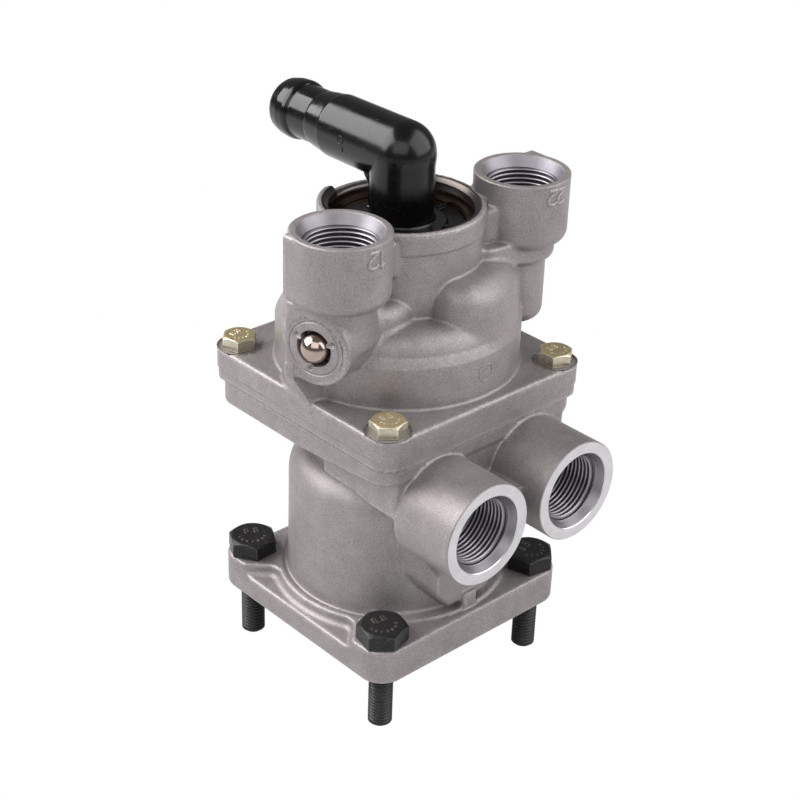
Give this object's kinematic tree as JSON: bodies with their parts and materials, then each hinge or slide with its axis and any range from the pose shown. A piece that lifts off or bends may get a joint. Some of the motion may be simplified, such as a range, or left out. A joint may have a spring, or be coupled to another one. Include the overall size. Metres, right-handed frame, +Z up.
{
  "type": "dual circuit foot brake valve",
  "caption": "Two-piece die-cast foot brake valve with square bolted flanges, threaded air ports and a swivelling exhaust elbow.",
  "frame": {"origin": "bottom of the plunger's push rod seat, on the valve's axis, level with the mounting flange's underside", "axes": "+Z up the valve's axis from the pedal side to the exhaust, -Y out of the two side ports, +X towards the delivery port on top"},
  "size_m": [0.1032, 0.1171, 0.1864],
  "materials": {
    "cast_aluminium": "die-cast, fine grain, machined at the ports and faces",
    "turned_aluminium": "turned, anodised clear",
    "black_steel": "black oxide, worn at the edges",
    "zinc_steel": "yellow passivated zinc, dulled",
    "bare_steel": "ground steel",
    "clip_steel": "phosphated spring steel, brownish",
    "black_nylon": "moulded glass-filled nylon, glossy with fine scratches",
    "seal_rubber": "nitrile rubber",
    "valve_brass": "turned brass"
  },
  "bodies": {
    "housing": {"lower_housing": "cast_aluminium", "upper_housing": "cast_aluminium", "housing_seal": "seal_rubber", "mounting_bolts": "black_steel", "housing_bolts": "zinc_steel", "plug_ball": "bare_steel", "elbow_clip": "clip_steel", "plunger_guide": "turned_aluminium", "plunger_guide_clip": "clip_steel", "plunger_dust_seal": "seal_rubber", "graduating_spring": "bare_steel", "piston_return_spring": "bare_steel", "primary_valve_spring": "bare_steel", "primary_valve_guide": "valve_brass", "primary_guide_seal": "seal_rubber", "primary_tube_seal": "seal_rubber", "primary_guide_clip": "clip_steel", "relay_spring": "bare_steel", "secondary_valve_spring": "bare_steel", "secondary_valve_guide": "valve_brass", "secondary_guide_seal": "seal_rubber", "secondary_tube_seal": "seal_rubber"},
    "plunger": {"plunger": "bare_steel"},
    "primary_piston_group": {"primary_piston": "turned_aluminium", "primary_piston_seal": "seal_rubber"},
    "primary_valve_group": {"primary_valve_tube": "valve_brass", "primary_valve_face": "seal_rubber"},
    "relay_piston_group": {"relay_piston": "turned_aluminium", "relay_piston_seal": "seal_rubber"},
    "secondary_valve_group": {"secondary_valve_tube": "valve_brass", "secondary_valve_face": "seal_rubber"},
    "elbow": {"exhaust_elbow": "black_nylon", "elbow_seal": "seal_rubber"}
  },
  "joints": [
    {"name": "plunger_slide", "type": "slide", "parent": "housing", "child": "plunger", "axis": [0, 0, 1], "range_m": [0, 0.011], "stiffness_N_per_m": 9000, "springref_m": -0.003, "deforming": ["graduating_spring"]},
    {"name": "primary_piston_slide", "type": "slide", "parent": "housing", "child": "primary_piston_group", "axis": [0, 0, 1], "range_m": [0, 0.0029], "deforming": ["piston_return_spring"]},
    {"name": "primary_valve_slide", "type": "slide", "parent": "housing", "child": "primary_valve_group", "axis": [0, 0, 1], "range_m": [0, 0.002], "deforming": ["primary_valve_spring"]},
    {"name": "relay_piston_slide", "type": "slide", "parent": "housing", "child": "relay_piston_group", "axis": [0, 0, 1], "range_m": [0, 0.0023], "deforming": ["relay_spring"]},
    {"name": "secondary_valve_slide", "type": "slide", "parent": "housing", "child": "secondary_valve_group", "axis": [0, 0, 1], "range_m": [0, 0.0014], "deforming": ["secondary_valve_spring"]},
    {"name": "elbow_swivel", "type": "hinge", "parent": "housing", "child": "elbow", "pos_m": [0, 0, 0.1557], "axis": [0, 0, 1], "range_deg": [-60, 60]}
  ],
  "couplings": [
    {"joint": "primary_piston_slide", "follows": "plunger_slide", "ratio": 0.26364},
    {"joint": "primary_valve_slide", "follows": "plunger_slide", "ratio": 0.18182},
    {"joint": "relay_piston_slide", "follows": "plunger_slide", "ratio": 0.20909},
    {"joint": "secondary_valve_slide", "follows": "plunger_slide", "ratio": 0.12727}
  ]
}
